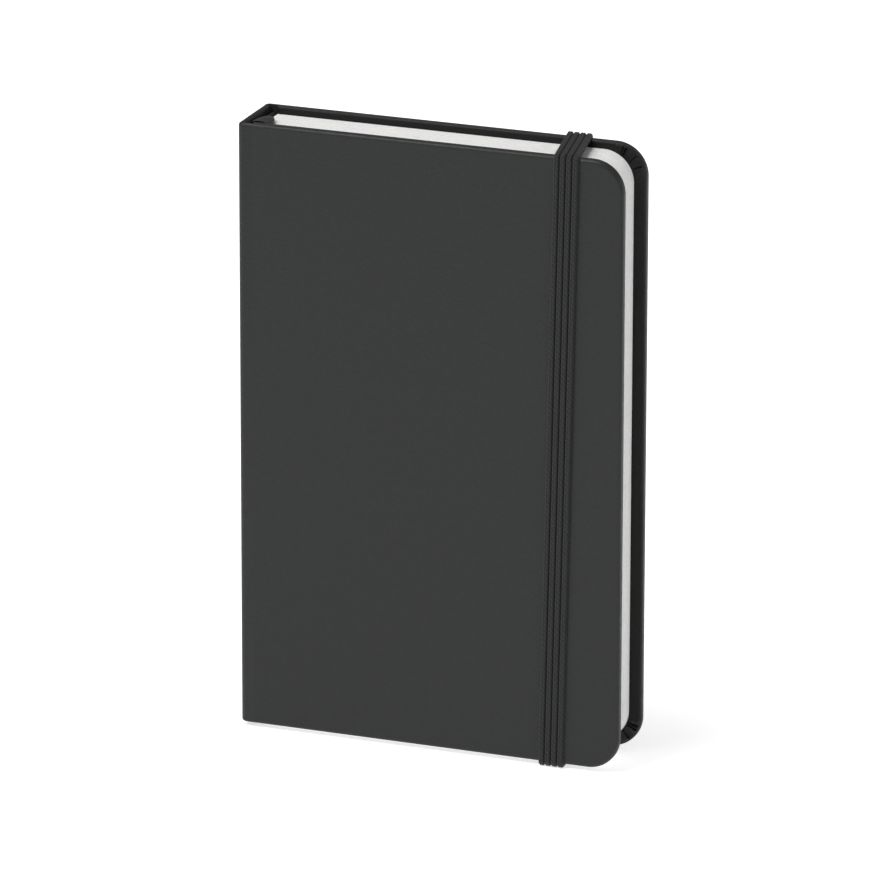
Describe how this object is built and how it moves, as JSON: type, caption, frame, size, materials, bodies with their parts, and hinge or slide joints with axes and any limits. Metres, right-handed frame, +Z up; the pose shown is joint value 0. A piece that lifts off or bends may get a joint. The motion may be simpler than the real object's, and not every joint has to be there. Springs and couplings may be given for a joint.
{
  "type": "sketchbook",
  "caption": "Hard-cover pocket sketchbook with rounded fore corners, sewn paper block, ribbon marker and an elastic strap round the fore edge, standing closed on its tail",
  "frame": {"origin": "centre of the overall bounding box in X and Y, at the lowest point, which is the elastic strap's tail run", "axes": "+Z up the page from tail to head, -X towards the spine, -Y out of the front cover"},
  "size_m": [0.09, 0.0192, 0.1418],
  "materials": {
    "leatherette": "matte",
    "board": "matte",
    "endpaper": "matte",
    "paper": "matte",
    "kraft": "matte",
    "mull": "matte",
    "thread": "matte",
    "band": "matte",
    "ribbon": "satin",
    "elastic": "matte"
  },
  "bodies": {
    "block": {"spine_stiffener": "board", "spine_leatherette": "leatherette", "front_hinge_strip": "leatherette", "back_hinge_strip": "leatherette", "kraft_lining": "kraft", "spine_mull": "mull", "sewing_thread": "thread", "headband": "band", "tailband": "band", "ribbon_root": "ribbon", "signature_06": "paper", "signature_07": "paper", "signature_08": "paper", "signature_09": "paper", "signature_10": "paper"},
    "front_cover": {"front_board": "board", "front_leatherette": "leatherette", "front_pastedown": "endpaper"},
    "back_cover": {"back_board": "board", "back_leatherette": "leatherette", "back_pastedown": "endpaper", "elastic_band": "elastic"},
    "leaf_front_flyleaf": {"front_flyleaf": "endpaper"},
    "leaf_ribbon": {"ribbon_tail": "ribbon"},
    "leaf_signature_01": {"signature_01": "paper"},
    "leaf_signature_02": {"signature_02": "paper"},
    "leaf_signature_03": {"signature_03": "paper"},
    "leaf_signature_04": {"signature_04": "paper"},
    "leaf_signature_05": {"signature_05": "paper"},
    "leaf_signature_11": {"signature_11": "paper"},
    "leaf_signature_12": {"signature_12": "paper"},
    "leaf_back_flyleaf": {"back_flyleaf": "endpaper"}
  },
  "joints": [
    {"name": "front_cover_hinge", "type": "hinge", "parent": "block", "child": "front_cover", "pos_m": [-0.0437, -0.0087, 0.07], "axis": [0, 0, -1], "range_deg": [0, 180], "deforming": ["elastic_band"]},
    {"name": "back_cover_hinge", "type": "hinge", "parent": "block", "child": "back_cover", "pos_m": [-0.0437, 0.0087, 0.07], "axis": [0, 0, 1], "range_deg": [0, 90]},
    {"name": "leaf_front_flyleaf_turn", "type": "hinge", "parent": "block", "child": "leaf_front_flyleaf", "pos_m": [-0.0416, -0.00647, 0.07], "axis": [0, 0, -1], "range_deg": [0, 90]},
    {"name": "leaf_ribbon_turn", "type": "hinge", "parent": "block", "child": "leaf_ribbon", "pos_m": [-0.0416, -0.00647, 0.07], "axis": [0, 0, -1], "range_deg": [0, 84.6]},
    {"name": "leaf_signature_01_turn", "type": "hinge", "parent": "block", "child": "leaf_signature_01", "pos_m": [-0.0416, -0.00647, 0.07], "axis": [0, 0, -1], "range_deg": [0, 79.2]},
    {"name": "leaf_signature_02_turn", "type": "hinge", "parent": "block", "child": "leaf_signature_02", "pos_m": [-0.0416, -0.00647, 0.07], "axis": [0, 0, -1], "range_deg": [0, 64.8]},
    {"name": "leaf_signature_03_turn", "type": "hinge", "parent": "block", "child": "leaf_signature_03", "pos_m": [-0.0416, -0.00647, 0.07], "axis": [0, 0, -1], "range_deg": [0, 48.6]},
    {"name": "leaf_signature_04_turn", "type": "hinge", "parent": "block", "child": "leaf_signature_04", "pos_m": [-0.0416, -0.00647, 0.07], "axis": [0, 0, -1], "range_deg": [0, 32.4]},
    {"name": "leaf_signature_05_turn", "type": "hinge", "parent": "block", "child": "leaf_signature_05", "pos_m": [-0.0416, -0.00647, 0.07], "axis": [0, 0, -1], "range_deg": [0, 16.2]},
    {"name": "leaf_signature_11_turn", "type": "hinge", "parent": "block", "child": "leaf_signature_11", "pos_m": [-0.0416, 0.00647, 0.07], "axis": [0, 0, 1], "range_deg": [0, 16.2]},
    {"name": "leaf_signature_12_turn", "type": "hinge", "parent": "block", "child": "leaf_signature_12", "pos_m": [-0.0416, 0.00647, 0.07], "axis": [0, 0, 1], "range_deg": [0, 32.4]},
    {"name": "leaf_back_flyleaf_turn", "type": "hinge", "parent": "block", "child": "leaf_back_flyleaf", "pos_m": [-0.0416, 0.00647, 0.07], "axis": [0, 0, 1], "range_deg": [0, 48.6]}
  ],
  "couplings": [
    {"joint": "back_cover_hinge", "follows": "front_cover_hinge", "ratio": 0.5},
    {"joint": "leaf_front_flyleaf_turn", "follows": "front_cover_hinge", "ratio": 0.5},
    {"joint": "leaf_ribbon_turn", "follows": "front_cover_hinge", "ratio": 0.47},
    {"joint": "leaf_signature_01_turn", "follows": "front_cover_hinge", "ratio": 0.44},
    {"joint": "leaf_signature_02_turn", "follows": "front_cover_hinge", "ratio": 0.36},
    {"joint": "leaf_signature_03_turn", "follows": "front_cover_hinge", "ratio": 0.27},
    {"joint": "leaf_signature_04_turn", "follows": "front_cover_hinge", "ratio": 0.18},
    {"joint": "leaf_signature_05_turn", "follows": "front_cover_hinge", "ratio": 0.09},
    {"joint": "leaf_signature_11_turn", "follows": "front_cover_hinge", "ratio": 0.09},
    {"joint": "leaf_signature_12_turn", "follows": "front_cover_hinge", "ratio": 0.18},
    {"joint": "leaf_back_flyleaf_turn", "follows": "front_cover_hinge", "ratio": 0.27}
  ]
}
